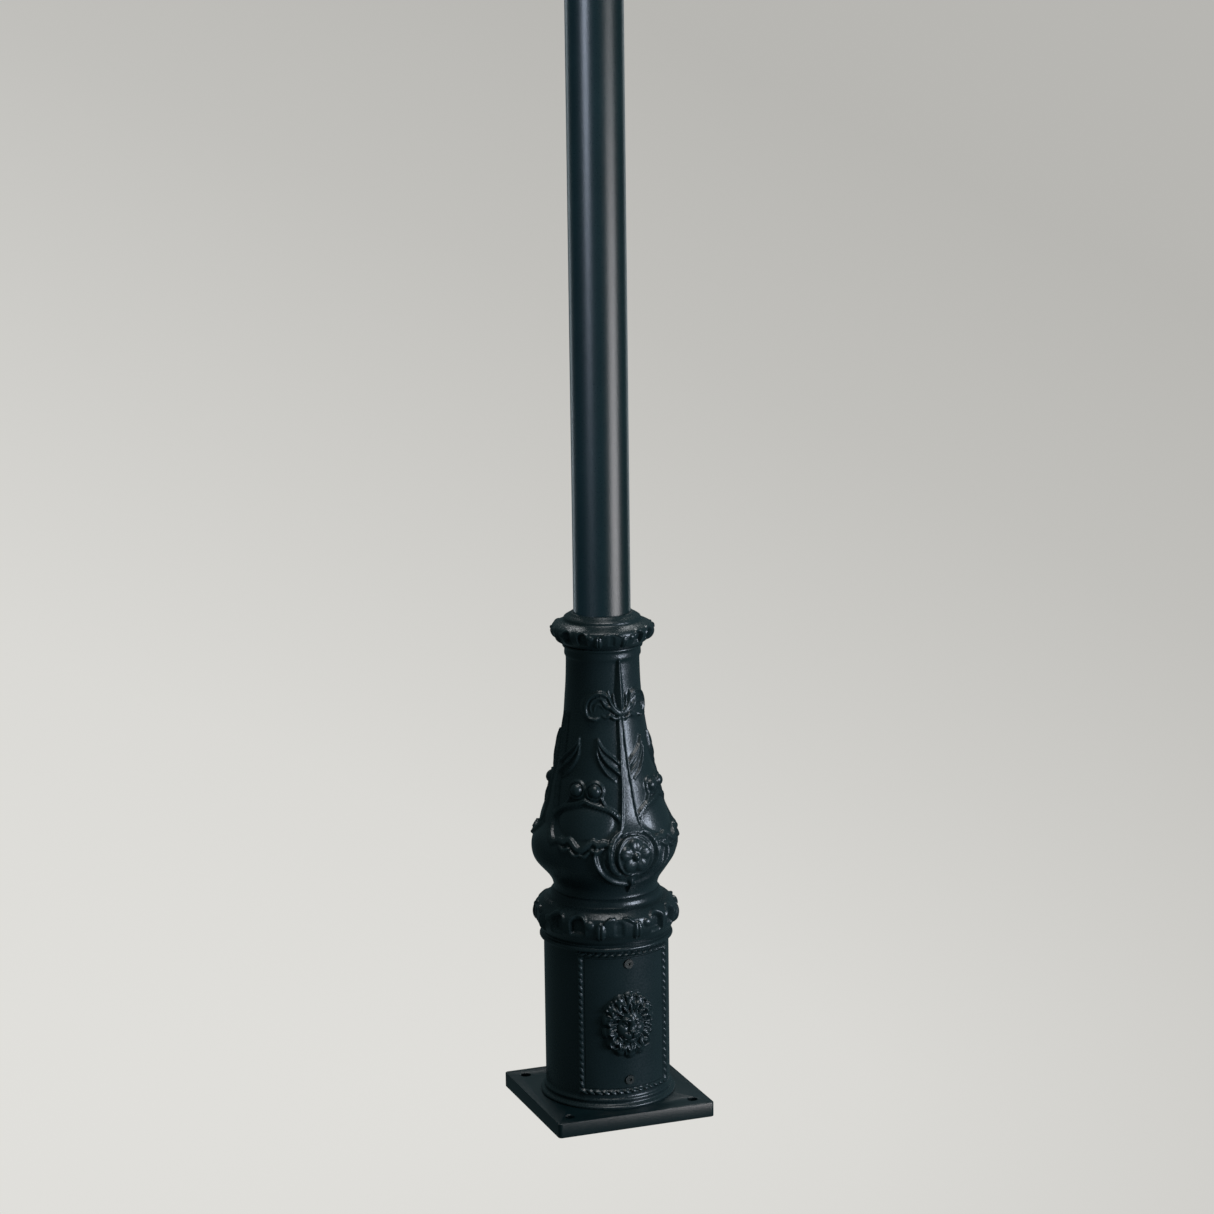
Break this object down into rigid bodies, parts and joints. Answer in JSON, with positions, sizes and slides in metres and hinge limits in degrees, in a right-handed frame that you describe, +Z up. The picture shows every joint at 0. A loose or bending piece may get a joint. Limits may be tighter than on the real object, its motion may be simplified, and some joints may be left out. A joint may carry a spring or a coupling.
{
  "type": "post clock",
  "caption": "Ornamental cast post on a square flange plate, carrying a round double-dial clock head with hinged glazed doors and a finial.",
  "frame": {"origin": "centre of the base plate's underside", "axes": "+Z up the post, -Y towards the decorated front and the first dial, +X to that viewer's right"},
  "size_m": [0.472, 0.222, 2.498],
  "materials": {
    "cast_black": "satin black coated casting",
    "steel_black": "satin black powder coat",
    "bezel_black": "satin black coated aluminium",
    "zinc_steel": "zinc plated steel",
    "brass": "machined brass",
    "opal_dial": "opal acrylic",
    "clear_glass": "clear toughened glass",
    "black_rubber": "matt black rubber",
    "hand_black": "matt black anodised sheet",
    "grey_plastic": "dark grey moulding",
    "board": "varnished plywood",
    "white_plastic": "white moulding"
  },
  "bodies": {
    "post": {"base_plate": "steel_black", "pedestal_casting": "cast_black", "pedestal_screws": "zinc_steel", "inspection_door": "cast_black", "door_screws": "steel_black", "front_rosette": "cast_black", "rear_rosette": "cast_black", "lower_collar": "cast_black", "vase_casting": "cast_black", "vase_bolts": "zinc_steel", "upper_collar": "cast_black", "collar_grub_screws": "zinc_steel", "pole_tube": "steel_black", "backboard": "board", "fuse_box": "grey_plastic", "earth_stud": "brass", "feed_cable": "black_rubber", "capital_casting": "cast_black", "capital_grub_screws": "zinc_steel", "drum_saddle": "cast_black", "drum_bolts": "zinc_steel", "drum_case": "steel_black", "equipment_shelf": "zinc_steel", "led_driver": "white_plastic", "terminal_block": "white_plastic", "led_strips": "white_plastic", "finial": "cast_black", "finial_nut": "zinc_steel", "hinge_pins": "zinc_steel", "dial_screws": "zinc_steel", "pillars": "brass", "motion_studs": "zinc_steel", "front_dial": "opal_dial", "front_bridge": "zinc_steel", "front_movement_plate": "brass", "front_motor": "grey_plastic", "rear_dial": "opal_dial", "rear_bridge": "zinc_steel", "rear_movement_plate": "brass", "rear_motor": "grey_plastic"},
    "front_minute": {"front_minute_arbor": "brass", "front_minute_hand": "hand_black", "front_hand_nut": "brass"},
    "front_wheel": {"front_motion_wheel": "brass"},
    "front_hour": {"front_hour_wheel": "brass", "front_hour_hand": "hand_black"},
    "front_door": {"front_bezel": "bezel_black", "front_glass": "clear_glass", "front_gasket": "black_rubber"},
    "front_lock": {"front_lock": "zinc_steel"},
    "rear_minute": {"rear_minute_arbor": "brass", "rear_minute_hand": "hand_black", "rear_hand_nut": "brass"},
    "rear_wheel": {"rear_motion_wheel": "brass"},
    "rear_hour": {"rear_hour_wheel": "brass", "rear_hour_hand": "hand_black"},
    "rear_door": {"rear_bezel": "bezel_black", "rear_glass": "clear_glass", "rear_gasket": "black_rubber"},
    "rear_lock": {"rear_lock": "zinc_steel"}
  },
  "joints": [
    {"name": "front_minute_spin", "type": "hinge", "parent": "post", "child": "front_minute", "pos_m": [0, -0.05, 2.18], "axis": [0, 1, 0], "continuous": true},
    {"name": "front_wheel_spin", "type": "hinge", "parent": "post", "child": "front_wheel", "pos_m": [0, -0.03, 2.156], "axis": [0, 1, 0], "continuous": true},
    {"name": "front_hour_spin", "type": "hinge", "parent": "post", "child": "front_hour", "pos_m": [0, -0.04, 2.18], "axis": [0, 1, 0], "continuous": true},
    {"name": "front_door_swing", "type": "hinge", "parent": "post", "child": "front_door", "pos_m": [-0.225, -0.07, 2.18], "axis": [0, 0, -1], "range_deg": [0, 110]},
    {"name": "front_lock_turn", "type": "hinge", "parent": "front_door", "child": "front_lock", "pos_m": [0.225, -0.066, 2.18], "axis": [0, -1, 0], "range_deg": [0, 90]},
    {"name": "rear_minute_spin", "type": "hinge", "parent": "post", "child": "rear_minute", "pos_m": [0, 0.05, 2.18], "axis": [0, -1, 0], "continuous": true},
    {"name": "rear_wheel_spin", "type": "hinge", "parent": "post", "child": "rear_wheel", "pos_m": [0, 0.03, 2.156], "axis": [0, -1, 0], "continuous": true},
    {"name": "rear_hour_spin", "type": "hinge", "parent": "post", "child": "rear_hour", "pos_m": [0, 0.04, 2.18], "axis": [0, -1, 0], "continuous": true},
    {"name": "rear_door_swing", "type": "hinge", "parent": "post", "child": "rear_door", "pos_m": [0.225, 0.07, 2.18], "axis": [0, 0, -1], "range_deg": [0, 110]},
    {"name": "rear_lock_turn", "type": "hinge", "parent": "rear_door", "child": "rear_lock", "pos_m": [-0.225, 0.066, 2.18], "axis": [0, 1, 0], "range_deg": [0, 90]}
  ],
  "couplings": [
    {"joint": "front_wheel_spin", "follows": "front_minute_spin", "ratio": -0.33333},
    {"joint": "front_hour_spin", "follows": "front_minute_spin", "ratio": 0.083333},
    {"joint": "rear_minute_spin", "follows": "front_minute_spin", "ratio": 1},
    {"joint": "rear_wheel_spin", "follows": "front_minute_spin", "ratio": -0.33333},
    {"joint": "rear_hour_spin", "follows": "front_minute_spin", "ratio": 0.083333}
  ]
}
